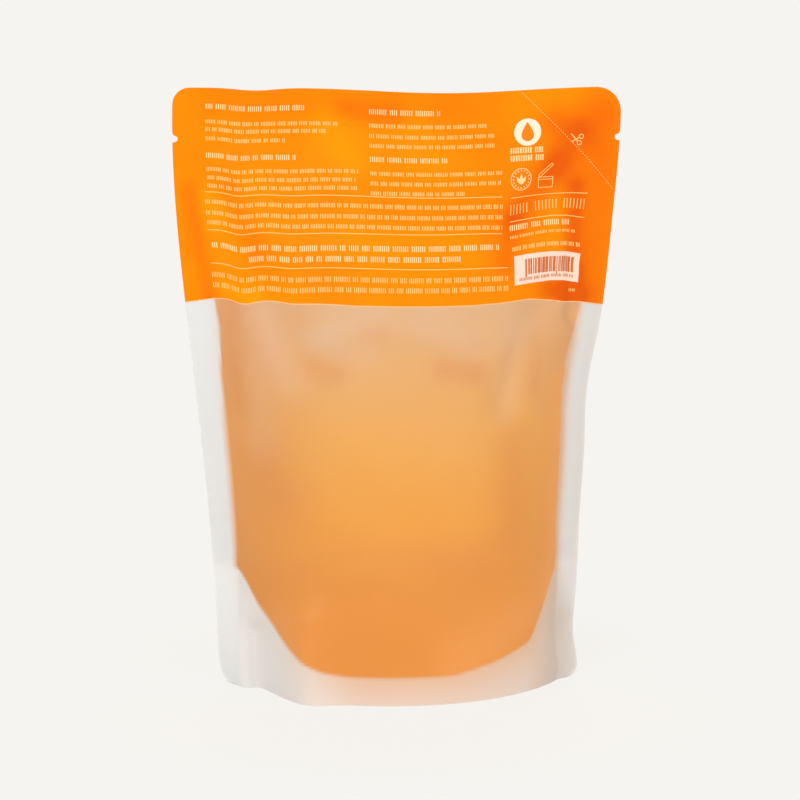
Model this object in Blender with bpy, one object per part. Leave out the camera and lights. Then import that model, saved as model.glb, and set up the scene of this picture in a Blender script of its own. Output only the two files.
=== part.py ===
"""Stand-up refill pouch of liquid hand soap, filled and standing on its base.

The pouch is three webs of laminate film, welded along the sides, the top and the base, with the soap
sealed inside. Metres, +Z up, with the origin on the floor under the middle of the pack. The labelled
panel faces -Y.

A place on a panel is given on the flat film: u runs across it from the middle, and v runs up it from
the base edge. The functions below bend that flat film into the shape that the filled pack takes.
"""

import math

import bpy
import numpy as np

# The film as cut
PACK_WIDTH = 0.150
PACK_HEIGHT = 0.2010
FILM = 0.00015
SIDE_SEAL = 0.0095
TOP_SEAL = 0.010
BASE_SEAL = 0.009  # height of the weld along the level middle of the base
GUSSET_DEPTH = 0.044  # height of the base web's fold, with the web folded flat
FOLD_HEM = 0.0035  # web left free of the weld below that fold
FOLD_FADE = 0.012  # above that fold, the panels close the space that the web took
LEFT_TOP_CORNER = 0.0055
RIGHT_TOP_CORNER = 0.0085
BASE_CORNER = 0.0045
NOTCH_DROP = 0.0165  # tear notches, below the top edge
NOTCH_DEPTH = 0.0018
NOTCH_HEIGHT = 0.0023
PRINT_HEIGHT = 0.0697  # printed band, down from the top edge

# The filled shape
BASE_DEPTH = 0.066  # from front to back at the floor
BULGE_POWER = 2.5  # a higher power keeps the depth further up the pack
SLACK_POWER = 4  # a higher power keeps the slack film nearer to the top edge
PINCH = 0.0015  # the base web holds the panels in by this much, at the top of the base seal
PINCH_SPREAD = 0.014
FILL_LEVEL = 0.1152
LEFT_FLANGE_TURN = 62.0  # degrees that each side seal turns backwards at the base
RIGHT_FLANGE_TURN = 36.0
LEFT_FLANGE_FADE = 3.5  # powers by which that turn fades out up the left side and up the right side
RIGHT_FLANGE_FADE = 3.0
TOP_DRAW = 0.0010  # the waves of the top edge draw each side in by this much

# Waves of the top edge, in shares of PACK_WIDTH: distance from the middle, half width, reach to the
# front and dip
TOP_WAVES = ((0.1067, 0.2267, 0.0267, 0.0133), (-0.3133, 0.0600, 0.0100, 0.0060))

# Stretches of the right side that are drawn in, in shares of PACK_WIDTH: how far, height and half
# height
SIDE_NIPS = ((0.0127, 0.6667, 0.1200), (0.0140, 0.1067, 0.0667), (0.0060, 1.0667, 0.2000))

# Top of the base weld, from the left side seal to the right one: place in shares of HALF_ARC, and
# share of the rise from BASE_SEAL to WEB_SEAL_TOP
BASE_SEAM = (
    (-1.00, 1.00),
    (-0.83, 0.73),
    (-0.64, 0.30),
    (-0.54, 0.13),
    (-0.43, 0.04),
    (-0.30, 0.00),
    (0.24, 0.00),
    (0.50, 0.11),
    (0.74, 0.25),
    (0.84, 0.60),
    (0.95, 0.96),
    (1.00, 1.00),
)
SEAM_ROUNDING = 0.0020  # half the length over which that line's corners are rounded

# Soft creases pressed into the front and the back, in shares of PACK_WIDTH: ends on the flat film,
# half width and depth. A negative depth pushes outwards.
FRONT_CREASES = (
    ((-0.2267, 0.0), (-0.2467, 0.1733), 0.0600, -0.0400),
    ((-0.3600, 0.0), (-0.3733, 0.1200), 0.0533, 0.0867),
    ((-0.3467, 0.9733), (-0.2000, 0.7200), 0.0500, 0.0120),
    ((0.3600, 0.9200), (0.2267, 0.6667), 0.0467, 0.0147),
    ((-0.1467, 0.7600), (0.1600, 0.7867), 0.0600, 0.0093),
    ((0.3800, 1.1733), (0.2467, 1.0133), 0.0533, 0.0120),
)
BACK_CREASES = (
    ((0.3267, 0.9533), (0.1733, 0.7333), 0.0533, 0.0133),
    ((-0.3333, 0.9067), (-0.2133, 0.6867), 0.0500, 0.0120),
)

# Welded films keep this much air between them, so that each stays a solid of its own
GAP = 0.0003
SOAP_GAP = 0.0006

# Mesh steps
COLUMNS = 24
ROW_STEP = 0.0075
WELD_STEPS = 10
GUSSET_ROWS = 9  # rows of a panel from the base weld up to the base web's fold
WEB_STEPS = 10
SOAP_ROWS = 20
TABLE_ROWS = 120

HALF_WIDTH = PACK_WIDTH / 2
HALF_ARC = HALF_WIDTH - SIDE_SEAL  # from the middle to the inner edge of a side seal
TOP_SEAL_LEVEL = PACK_HEIGHT - TOP_SEAL
PRINT_LEVEL = PACK_HEIGHT - PRINT_HEIGHT
NOTCH_LEVEL = PACK_HEIGHT - NOTCH_DROP
WEB_SEAL_TOP = GUSSET_DEPTH - FOLD_HEM
INSIDE = np.linspace(-HALF_ARC, HALF_ARC, COLUMNS + 1)  # u of the columns between the side seals

FRONT, BACK = -1.0, 1.0
FILM_SLOT, PRINT_SLOT = 0, 1


def remove_everything():
    for obj in list(bpy.data.objects):
        bpy.data.objects.remove(obj, do_unlink=True)


def bell(distance, spread):
    """1 at distance 0, falling smoothly to 0 a few spreads away."""
    return np.exp(-((distance / spread) ** 2))


def bulge(v):
    """How far a panel's middle stands out from the plane of the side seals, at height v on the film."""
    height = np.clip(v / TOP_SEAL_LEVEL, 0.0, 1.0)
    full = BASE_DEPTH / 2 * (1 - height**BULGE_POWER)
    return np.maximum(full - PINCH * bell(v - BASE_SEAL, PINCH_SPREAD), 0.0)


def arc_angle(v):
    """Half angle of the circular arc that a panel's section follows. The film doesn't stretch, so the
    arc keeps the length 2 * HALF_ARC and the angle comes from (1 - cos a) / a = bulge / HALF_ARC."""
    share = np.maximum(bulge(v) / HALF_ARC, 1e-4)
    angle = 2.0 * share
    for _ in range(12):
        angle = angle - (1 - np.cos(angle) - share * angle) / (np.sin(angle) - share)
    return angle


def crease(u, v, start, end, spread, depth):
    """A valley of a bell-shaped section that runs from start to end and fades out past them, with all
    lengths in one unit."""
    (u0, v0), (u1, v1) = start, end
    along_u, along_v = u1 - u0, v1 - v0
    length2 = along_u**2 + along_v**2
    share = np.clip(((u - u0) * along_u + (v - v0) * along_v) / length2, 0.0, 1.0)
    away = np.hypot(u - u0 - share * along_u, v - v0 - share * along_v)
    return depth * bell(away, spread)


def dents(side, u, v):
    """How far the creases press a panel inwards. They fade out at the seams and at the top seal."""
    pressed = np.zeros(np.broadcast(u, v).shape)
    for start, end, spread, depth in FRONT_CREASES if side == FRONT else BACK_CREASES:
        pressed = pressed + crease(u / PACK_WIDTH, v / PACK_WIDTH, start, end, spread, depth)
    free = np.clip(1 - (u / HALF_ARC) ** 4, 0.0, 1.0)
    return PACK_WIDTH * pressed * free * np.clip(2 * bulge(v) / bulge(0.0), 0.0, 1.0)


def flange_turn(u, v):
    """Angle in radians that the side seal at this side turns backwards, at height v on the film."""
    at_base = np.where(u < 0, LEFT_FLANGE_TURN, RIGHT_FLANGE_TURN)
    high = v / PACK_HEIGHT
    fade = np.where(u < 0, (1 - high) ** LEFT_FLANGE_FADE, 1 - high**RIGHT_FLANGE_FADE)
    return np.radians(at_base) * fade


def plan(side, u, v):
    """x and y of a place on a panel, before the top edge is waved and the right side is drawn in."""
    inside = np.clip(u, -HALF_ARC, HALF_ARC)
    angle = arc_angle(v)
    radius = HALF_ARC / angle
    x = radius * np.sin(inside / HALF_ARC * angle)
    out = radius * (np.cos(inside / HALF_ARC * angle) - np.cos(angle))
    y = side * (out - dents(side, inside, v))
    past = np.abs(u) - np.abs(inside)
    turn = flange_turn(u, v)
    return x + np.sign(u) * past * np.cos(turn), y + past * np.sin(turn)


def heights(side, u, v):
    """z of places on a panel. The film keeps its length up each column, so z climbs by what is left of
    each step of v after its sideways part. Near the top the film is slack, and every column is drawn
    out there to end level with the seams."""
    steps = np.linspace(0.0, PACK_HEIGHT, TABLE_ROWS)[:, None]
    step = steps[1, 0] - steps[0, 0]

    def climb(columns):
        x, y = plan(side, columns[None, :], steps)
        left = step**2 - np.diff(x, axis=0) ** 2 - np.diff(y, axis=0) ** 2
        return np.vstack([np.zeros_like(columns), np.cumsum(np.sqrt(np.maximum(left, 0.0)), axis=0)])

    seam = climb(np.array([HALF_ARC]))[-1, 0]
    table = climb(np.clip(u, -HALF_ARC, HALF_ARC)[0])
    table = table + (seam - table[-1]) * (steps / PACK_HEIGHT) ** SLACK_POWER
    z = np.empty(v.shape)
    for i in range(v.shape[1]):
        z[:, i] = np.interp(v[:, i], steps[:, 0], table[:, i])
    seam_x = plan(side, HALF_ARC, steps[:, 0])[0]
    slant = np.interp(v, steps[:, 0], np.gradient(seam_x, step))
    past = np.maximum(np.abs(u) - HALF_ARC, 0.0)
    return z - past * slant * np.clip(v / GUSSET_DEPTH, 0.0, 1.0)


def panel(side, u, v):
    """Points of the surface that a panel would share with the other one if the two touched. The grid's
    columns keep one u inside the seams."""
    u, v = np.broadcast_arrays(u, v)
    x, y = plan(side, u, v)
    return np.stack([x, y, heights(side, u, v)], axis=-1)


def settle(points):
    """Draws the sides in and waves the top edge."""
    x, y, z = points[..., 0], points[..., 1], points[..., 2]
    right = np.clip(x / HALF_ARC, 0.0, 1.0) ** 2
    for depth, level, spread in SIDE_NIPS:
        x = x - PACK_WIDTH * depth * right * bell(z / PACK_WIDTH - level, spread)
    high = np.clip(z / PACK_HEIGHT, 0.0, 1.0) ** 4
    x = x - TOP_DRAW * x / HALF_WIDTH * high
    for middle, spread, reach, dip in TOP_WAVES:
        share = PACK_WIDTH * bell(x / PACK_WIDTH - middle, spread) * high
        y = y - reach * share
        z = z - dip * share
    return np.stack([x, y, z], axis=-1)


def outward(side, grid):
    """Unit normals of a panel's grid, pointing out of the pack."""
    cross = np.cross(np.gradient(grid, axis=1), np.gradient(grid, axis=0))
    return -side * cross / np.linalg.norm(cross, axis=-1, keepdims=True)


def clearance(v):
    """Half the space between two welded panels: half a gap above the folded web, and below its fold the
    web's ply with one and a half gaps."""
    with_web = FILM + 1.5 * GAP
    above = np.clip((v - GUSSET_DEPTH - 2 * FILM) / FOLD_FADE, 0.0, 1.0)
    return with_web + (GAP / 2 - with_web) * above


def outline(right, v):
    """Distance from the middle to the cut edge of the film, with its round corners and tear notch."""
    top_corner = RIGHT_TOP_CORNER if right else LEFT_TOP_CORNER
    edge = np.full(v.shape, HALF_WIDTH)
    for corner, from_end in ((BASE_CORNER, v), (top_corner, PACK_HEIGHT - v)):
        short = np.clip(corner - from_end, 0.0, corner)
        edge = edge - (corner - np.sqrt(corner**2 - short**2))
    return edge - NOTCH_DEPTH * np.clip(1 - np.abs(v - NOTCH_LEVEL) / (NOTCH_HEIGHT / 2), 0.0, 1.0)


def corner_rows(radius):
    """Distances from an end of the film at which a round corner needs a row."""
    return [radius * (1 - math.cos(math.radians(angle))) for angle in (0, 30, 60, 90)]


def panel_rows():
    """Heights v of a panel's rows: exact ones at corners, seals, fold, print edge and notch, with even
    ones between them."""
    exact = set(corner_rows(BASE_CORNER))
    for radius in (LEFT_TOP_CORNER, RIGHT_TOP_CORNER):
        exact |= {PACK_HEIGHT - drop for drop in corner_rows(radius)}
    exact |= {PRINT_LEVEL, TOP_SEAL_LEVEL, *np.linspace(BASE_SEAL, GUSSET_DEPTH, GUSSET_ROWS)}
    exact |= {NOTCH_LEVEL + half * NOTCH_HEIGHT / 2 for half in (-1, 0, 1)}
    rows = []
    for level in sorted(exact):
        if rows and level - rows[-1] < GAP:
            continue
        if rows:
            parts = math.ceil((level - rows[-1]) / ROW_STEP)
            rows += list(np.linspace(rows[-1], level, parts + 1)[1:-1])
        rows.append(level)
    return np.array(rows)


def mesh_object(name, points, faces, slots, materials):
    mesh = bpy.data.meshes.new(name)
    mesh.from_pydata(points.reshape(-1, 3).tolist(), [], faces)
    for material in materials:
        mesh.materials.append(material)
    mesh.polygons.foreach_set("material_index", slots)
    mesh.update()
    mesh.shade_smooth()
    mesh.set_sharp_from_angle(angle=math.radians(50))
    obj = bpy.data.objects.new(name, mesh)
    bpy.context.scene.collection.objects.link(obj)


def sheet(name, near, far, materials, slot_of_row):
    """A thin closed solid between two grids of points. The far grid lies on the side that the cross
    product of its columns' direction and its rows' direction points to."""
    rows, columns = near.shape[:2]
    a = np.arange(rows * columns).reshape(rows, columns)
    b = a + rows * columns
    faces, slots = [], []
    for j in range(rows - 1):
        strip = [(a[j, 0], b[j, 0], b[j + 1, 0], a[j + 1, 0])]
        strip.append((b[j, -1], a[j, -1], a[j + 1, -1], b[j + 1, -1]))
        for i in range(columns - 1):
            strip.append((b[j, i], b[j, i + 1], b[j + 1, i + 1], b[j + 1, i]))
            strip.append((a[j, i], a[j + 1, i], a[j + 1, i + 1], a[j, i + 1]))
        faces += strip
        slots += [slot_of_row[j]] * len(strip)
    for i in range(columns - 1):
        faces.append((a[0, i], a[0, i + 1], b[0, i + 1], b[0, i]))
        faces.append((b[-1, i], b[-1, i + 1], a[-1, i + 1], a[-1, i]))
        slots += [slot_of_row[0], slot_of_row[-1]]
    faces = [[int(corner) for corner in face] for face in faces]
    mesh_object(name, np.stack([near, far]), faces, slots, materials)


def make_panel(name, side, materials):
    v = panel_rows()
    u = np.repeat(INSIDE[None, :], len(v), axis=0)
    u = np.hstack([-outline(False, v)[:, None], u, outline(True, v)[:, None]])
    grid = panel(side, u, v[:, None])
    out = outward(side, grid)
    inner = grid + out * clearance(v)[:, None, None]
    outer = inner + out * FILM
    inner[0, :, 2] = outer[0, :, 2] = 0.0
    inner, outer = settle(inner), settle(outer)
    if side == BACK:
        inner, outer = inner[:, ::-1], outer[:, ::-1]
    slots = [PRINT_SLOT if level > PRINT_LEVEL - GAP else FILM_SLOT for level in v[:-1]]
    sheet(name, inner, outer, materials, slots)


def seal_height(u):
    """Top of the weld between a panel and the base web: the line through the points of BASE_SEAM,
    averaged over a short length, which rounds its corners."""
    place, rise = np.array(BASE_SEAM).T
    steps = np.linspace(-SEAM_ROUNDING, SEAM_ROUNDING, 7)
    share = sum(np.interp((u + step) / HALF_ARC, place, rise) for step in steps) / len(steps)
    return BASE_SEAL + (WEB_SEAL_TOP - BASE_SEAL) * share


def ply(side, u, v):
    """The face of a ply of the base web that looks away from the panel that it is welded to."""
    grid = panel(side, u, v)
    return grid + outward(side, grid) * (clearance(v) - GAP - FILM)[..., None]


def web_underside():
    """The base web's lower face: up the front weld, across the free web and down the back weld. The soap
    presses the free web down onto the floor. How deep it can hang comes from its length, with
    hang = half span * sqrt(1.5 * (length / span - 1)), which holds for a shallow parabola."""
    middle = np.concatenate([[-HALF_WIDTH], INSIDE, [HALF_WIDTH]])[None, :]
    weld = np.linspace(0.0, 1.0, WELD_STEPS + 1)[:, None] * seal_height(middle)
    u = np.sign(middle) * np.minimum(np.abs(middle), outline(False, weld))
    front, back = ply(FRONT, u, weld), ply(BACK, u, weld)
    start, end = front[-1], back[-1]
    half_span = np.linalg.norm(end - start, axis=-1) / 2
    half_length = GUSSET_DEPTH - seal_height(middle)[0]
    slack = np.maximum(half_length / half_span - 1, 0.0)
    in_side_seal = np.abs(middle[0]) > HALF_ARC - GAP
    hang = np.where(in_side_seal, -FOLD_HEM, half_span * np.sqrt(1.5 * slack))
    across = np.linspace(-1.0, 1.0, WEB_STEPS + 1)[1:-1, None, None]
    free = start + (end - start) * (across + 1) / 2
    free[..., 2] = np.maximum(free[..., 2] - hang * (1 - across[..., 0] ** 2), 0.0)
    grid = np.concatenate([front, free, back[::-1]])
    grid[0, :, 2] = grid[-1, :, 2] = 0.0
    return grid


def above_web(lower, distance):
    """The base web's lower face moved by a distance along its normals, to the side where the soap is."""
    cross = np.cross(np.gradient(lower, axis=1), np.gradient(lower, axis=0))
    return lower + distance * cross / np.linalg.norm(cross, axis=-1, keepdims=True)


def make_gusset(name, materials):
    lower = web_underside()
    upper = above_web(lower, FILM)
    upper[0, :, 2] = upper[-1, :, 2] = 0.0
    sheet(name, settle(lower), settle(upper), materials, [0] * (len(lower) - 1))


def soap_wall(side, u):
    """The soap's face along a panel, from the base web up to the fill level."""
    probe = np.broadcast_to(np.linspace(0.0, TOP_SEAL_LEVEL, TABLE_ROWS)[:, None], (TABLE_ROWS, len(u)))
    z = heights(side, np.broadcast_to(u, probe.shape), probe)
    top = np.array([np.interp(FILL_LEVEL, z[:, i], probe[:, i]) for i in range(len(u))])
    bottom = seal_height(u) + 2 * SOAP_GAP
    v = bottom + np.linspace(0.0, 1.0, SOAP_ROWS + 1)[:, None] * (top - bottom)
    grid = panel(side, u[None, :], v)
    return grid + outward(side, grid) * (clearance(v) - SOAP_GAP)[..., None]


def make_soap(name, materials):
    u = INSIDE[1:-1]
    floor = above_web(web_underside(), FILM + SOAP_GAP)[WELD_STEPS + 1 : -WELD_STEPS - 1, 2:-2]
    loop = np.concatenate([soap_wall(FRONT, u)[::-1], floor, soap_wall(BACK, u)])
    loop = settle(loop)
    loop[0, :, 2] = loop[-1, :, 2] = FILL_LEVEL
    rows, columns = loop.shape[:2]
    a = np.arange(rows * columns).reshape(rows, columns)
    faces = []
    for j in range(rows):
        after = (j + 1) % rows
        for i in range(columns - 1):
            faces.append((a[j, i], a[after, i], a[after, i + 1], a[j, i + 1]))
    for j in range(rows // 2):
        left = [a[j, 0], a[-1 - j, 0], a[-2 - j, 0], a[j + 1, 0]]
        right = [a[j, -1], a[j + 1, -1], a[-2 - j, -1], a[-1 - j, -1]]
        faces += [left, right]
    faces = [list(dict.fromkeys(int(corner) for corner in face)) for face in faces]
    mesh_object(name, loop, faces, [0] * len(faces), materials)


def material(name, color, roughness, alpha=1.0):
    made = bpy.data.materials.new(name)
    made.use_nodes = True
    shader = made.node_tree.nodes["Principled BSDF"]
    shader.inputs["Base Color"].default_value = (*color, 1.0)
    shader.inputs["Roughness"].default_value = roughness
    shader.inputs["Metallic"].default_value = 0.0
    shader.inputs["Alpha"].default_value = alpha
    return made


def main():
    remove_everything()
    frosted = material("frosted_film", (0.83, 0.82, 0.79), 0.45, 0.5)
    printed = material("printed_film", (0.97, 0.24, 0.01), 0.40)
    soap = material("orange_soap", (0.89, 0.33, 0.06), 0.25)
    make_panel("front_panel", FRONT, [frosted, printed])
    make_panel("rear_panel", BACK, [frosted, printed])
    make_gusset("bottom_gusset", [frosted])
    make_soap("liquid_soap", [soap])


main()
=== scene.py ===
"""Refill pouch of liquid hand soap: the finish of its film, its print and its soap, on a plain stage.

The pouch stands on its base web. Metres, +Z up, and the labelled panel faces -Y. A place on a panel is
given on the flat film: u runs across it from the middle, and v runs up it from the base edge.
"""

import math

import bpy
import numpy as np
from bpy.props import FloatProperty, FloatVectorProperty, PointerProperty
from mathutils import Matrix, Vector


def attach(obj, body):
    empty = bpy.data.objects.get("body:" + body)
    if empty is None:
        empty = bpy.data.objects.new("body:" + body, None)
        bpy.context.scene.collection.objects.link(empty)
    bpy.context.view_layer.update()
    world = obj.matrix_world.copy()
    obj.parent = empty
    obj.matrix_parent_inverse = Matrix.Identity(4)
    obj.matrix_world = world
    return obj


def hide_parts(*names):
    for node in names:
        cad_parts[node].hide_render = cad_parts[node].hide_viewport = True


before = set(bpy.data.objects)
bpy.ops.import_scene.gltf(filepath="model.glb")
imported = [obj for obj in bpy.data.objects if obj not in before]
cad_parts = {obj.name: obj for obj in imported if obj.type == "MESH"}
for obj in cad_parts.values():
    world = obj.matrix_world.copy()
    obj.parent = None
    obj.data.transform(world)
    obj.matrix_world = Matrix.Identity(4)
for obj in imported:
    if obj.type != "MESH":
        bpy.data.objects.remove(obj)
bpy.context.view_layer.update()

bl_info = {
    "name": "Refill Pouch",
    "version": (1, 0, 0),
    "blender": (4, 5, 0),
    "location": "3D View > Sidebar > Pouch",
    "description": "A filled stand-up refill pouch of liquid soap, with its print, and a plain stage",
    "category": "Object",
}

BODY = "root"
FRONT, BACK = -1.0, 1.0

SAME_LEVEL = 1e-4  # levels closer than this are one row of points
FLOOR_REST = 0.0012  # height within which the base web comes to rest on the floor
SOAP_GAP = 0.00035  # between the soap and a panel
WEB_GAP = 0.0003  # between the soap and the base web
INK_ROOT = 0.00003  # how far ink reaches into the film
SLOPE_STEP = 0.0005  # half the step over which the base seam's slope is taken
NORMAL_STEP = 0.0004  # half the step over which a panel's normals are taken

# Soft creases pressed into the front and the back, as in the frame's panels: ends on the flat film,
# half width and depth. A negative depth pushes outwards.
FRONT_CREASES = (
    ((-0.034, 0.0), (-0.037, 0.026), 0.009, -0.006),
    ((-0.054, 0.0), (-0.056, 0.018), 0.008, 0.013),
    ((-0.052, 0.146), (-0.03, 0.108), 0.0075, 0.0018),
    ((0.054, 0.138), (0.034, 0.1), 0.007, 0.0022),
    ((-0.022, 0.114), (0.024, 0.118), 0.009, 0.0014),
    ((0.057, 0.176), (0.037, 0.152), 0.008, 0.0018),
)
BACK_CREASES = (
    ((0.049, 0.143), (0.026, 0.11), 0.008, 0.002),
    ((-0.05, 0.136), (-0.032, 0.103), 0.0075, 0.0018),
)

# Sharper folds in the film, which only the finished surface has: ends, half width and depth
FRONT_FOLDS = (
    ((-0.0575, 0.171), (-0.06, 0.128), 0.0036, 0.0006),
    ((0.06, 0.168), (0.0625, 0.126), 0.0036, 0.0013),
    ((0.064, 0.19), (0.038, 0.156), 0.005, 0.001),
    ((-0.016, 0.198), (0.002, 0.19), 0.005, 0.0005),
    ((-0.044, 0.17), (-0.03, 0.158), 0.006, 0.0005),
    ((-0.047, 0.13), (-0.04, 0.106), 0.0044, 0.0003),
    ((0.04, 0.121), (0.036, 0.098), 0.004, 0.0004),
    ((-0.03, 0.118), (-0.008, 0.109), 0.003, 0.0003),
    ((0.012, 0.108), (0.028, 0.116), 0.003, 0.0003),
)
BACK_FOLDS = (
    ((-0.059, 0.169), (-0.061, 0.128), 0.0034, 0.001),
    ((0.059, 0.166), (0.061, 0.13), 0.0036, 0.0011),
    ((-0.035, 0.19), (-0.015, 0.166), 0.0055, 0.0007),
    ((0.028, 0.12), (0.012, 0.104), 0.003, 0.0004),
    ((-0.035, 0.122), (-0.022, 0.102), 0.0026, 0.0004),
)

# Places where the film stands off the soap and looks paler, partly a painted highlight along its folds:
# ends, half width and strength
FRONT_PALE = (
    ((-0.048, 0.129), (-0.039, 0.107), 0.006, 0.12),
    ((-0.029, 0.1205), (-0.007, 0.1287), 0.0044, 0.3),
    ((-0.023, 0.117), (-0.013, 0.115), 0.0046, 0.22),
    ((0.008, 0.1255), (0.021, 0.119), 0.006, 0.28),
    ((0.039, 0.123), (0.035, 0.096), 0.0052, 0.24),
    ((-0.05, 0.112), (-0.05, 0.086), 0.007, 0.09),
    ((0.028, 0.117), (0.04, 0.121), 0.005, 0.12),
)
BACK_PALE = (
    ((0.044, 0.128), (0.033, 0.104), 0.005, 0.28),
    ((-0.012, 0.118), (0.008, 0.122), 0.0085, 0.26),
    ((-0.042, 0.124), (-0.032, 0.103), 0.0044, 0.22),
)

# Painted shade that makes the base weld tan at its corners and up the right side seal, and painted shade
# that makes the window's soap redder: ends, half width and strength. A negative strength is painted light,
# brighter.
FRONT_TAN_SHADE = (
    ((0.06, 0.004), (0.064, 0.029), 0.0085, 0.48),
    ((0.071, 0.003), (0.071, 0.02), 0.0075, 0.46),
    ((0.0735, 0.038), (0.0735, 0.126), 0.007, 0.24),
)
BACK_TAN_SHADE = (((-0.064, 0.002), (-0.067, 0.02), 0.011, 0.5),)
FRONT_PAINTED_SHADING = (
    ((-0.06, 0.129), (-0.058, 0.098), 0.0046, 0.3),
    ((-0.03, 0.111), (-0.022, 0.11), 0.005, 0.26),
    ((-0.013, 0.1228), (-0.008, 0.1225), 0.0032, 0.16),
    ((-0.048, 0.077), (-0.043, 0.068), 0.01, 0.3),
    ((0.013, 0.1105), (0.024, 0.1085), 0.0048, 0.38),
    ((0.047, 0.118), (0.048, 0.102), 0.004, 0.2),
    ((0.062, 0.116), (0.061, 0.09), 0.0042, 0.1),
    ((0.037, 0.083), (0.038, 0.056), 0.008, 0.32),
    ((0.025, 0.048), (-0.02, 0.05), 0.006, 0.18),
    ((0.02, 0.013), (0.054, 0.03), 0.012, -0.6),
    ((0.0605, 0.034), (0.061, 0.102), 0.0065, -0.55),
    ((-0.04, 0.018), (-0.043, 0.026), 0.007, -0.5),
)
BACK_PAINTED_SHADING = (
    ((0.059, 0.129), (0.057, 0.096), 0.005, 0.32),
    ((-0.06, 0.125), (-0.059, 0.09), 0.0046, 0.28),
    ((0.006, 0.111), (0.014, 0.1085), 0.0052, 0.28),
    ((-0.042, 0.074), (-0.038, 0.062), 0.01, 0.3),
    ((0.045, 0.07), (0.04, 0.06), 0.009, 0.28),
)

# Painted shade on the printed band, which makes it redder where shade falls in and beside its folds: ends,
# half width and strength. A negative strength is painted light, which makes it lighter.
FRONT_SHADE = (
    ((-0.0705, 0.168), (-0.0668, 0.132), 0.0032, 0.36),
    ((-0.057, 0.169), (-0.048, 0.148), 0.0046, 0.24),
    ((0.061, 0.168), (0.0618, 0.13), 0.004, 0.7),
    ((0.07, 0.178), (0.069, 0.132), 0.0064, 0.34),
    ((0.052, 0.1345), (0.064, 0.131), 0.0052, 0.7),
    ((0.069, 0.192), (0.054, 0.176), 0.008, 0.46),
    ((0.052, 0.19), (0.06, 0.187), 0.0056, 0.46),
    ((0.054, 0.176), (0.039, 0.159), 0.0056, 0.5),
    ((0.039, 0.159), (0.035, 0.144), 0.0042, 0.38),
    ((-0.019, 0.1955), (-0.002, 0.1935), 0.004, 0.3),
    ((-0.05, 0.1965), (0.03, 0.1955), 0.005, 0.14),
    ((0.064, 0.14), (0.056, 0.133), 0.003, 0.3),
    ((-0.059, 0.135), (-0.05, 0.133), 0.0036, -0.7),
    ((-0.064, 0.166), (-0.0625, 0.156), 0.0028, -0.5),
    ((-0.024, 0.188), (-0.016, 0.178), 0.006, -0.5),
    ((0.005, 0.183), (0.022, 0.174), 0.009, -0.2),
    ((-0.035, 0.152), (0.02, 0.149), 0.007, -0.2),
)
BACK_SHADE = (
    ((0.058, 0.168), (0.061, 0.131), 0.0046, 0.44),
    ((-0.059, 0.17), (-0.062, 0.131), 0.0044, 0.36),
    ((-0.04, 0.192), (-0.015, 0.164), 0.007, 0.3),
    ((0.03, 0.16), (0.044, 0.138), 0.006, 0.24),
    ((-0.01, 0.195), (0.02, 0.1955), 0.0045, 0.3),
)

# Waves of the top edge: distance from the middle, half width, reach to the front and dip
TOP_WAVES = ((0.016, 0.034, 0.004, 0.002), (-0.047, 0.009, 0.0015, 0.0009))
# Stretches of the right side that are drawn in: how far, height and half height
SIDE_NIPS = ((0.0019, 0.1, 0.018), (0.0021, 0.016, 0.01), (0.0009, 0.16, 0.03))
# Top of the base weld on each side of its level middle: share of the way to the side seal, and share
# of the rise to the top of the welded web
BASE_SEAM = (
    (-1.0, 1.0), (-0.83, 0.73), (-0.64, 0.3), (-0.54, 0.13), (-0.43, 0.04),
    (-0.3, 0.0), (0.24, 0.0), (0.5, 0.11), (0.74, 0.25), (0.84, 0.6),
    (0.95, 0.96), (1.0, 1.0),
)
SEAM_ROUNDING = 0.002  # half the length over which the corners of that line are rounded

# Print stands for text by small upright bars, all of one height in a line: height of a bar, its
# width, the gap after it and the gap after a run of bars
BARS = {
    "heading": (0.00165, 0.00034, 0.00034, 0.0011),
    "body": (0.0013, 0.00028, 0.00028, 0.00085),
    "list": (0.0014, 0.00028, 0.00028, 0.0008),
    "bold": (0.0018, 0.00036, 0.00032, 0.0012),
    "notice": (0.00165, 0.00028, 0.00034, 0.001),
    "caption": (0.0019, 0.0005, 0.00028, 0.0011),
    "display": (0.0034, 0.0003, 0.00085, 0.0026),
    "fine": (0.00095, 0.00026, 0.0003, 0.0008),
}
RUN = (3, 10)  # fewest bars in a run, and one more than the most
BAR_CELL = 0.0006  # bars and panels are divided into cells of at most this height, to follow the folds

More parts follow.
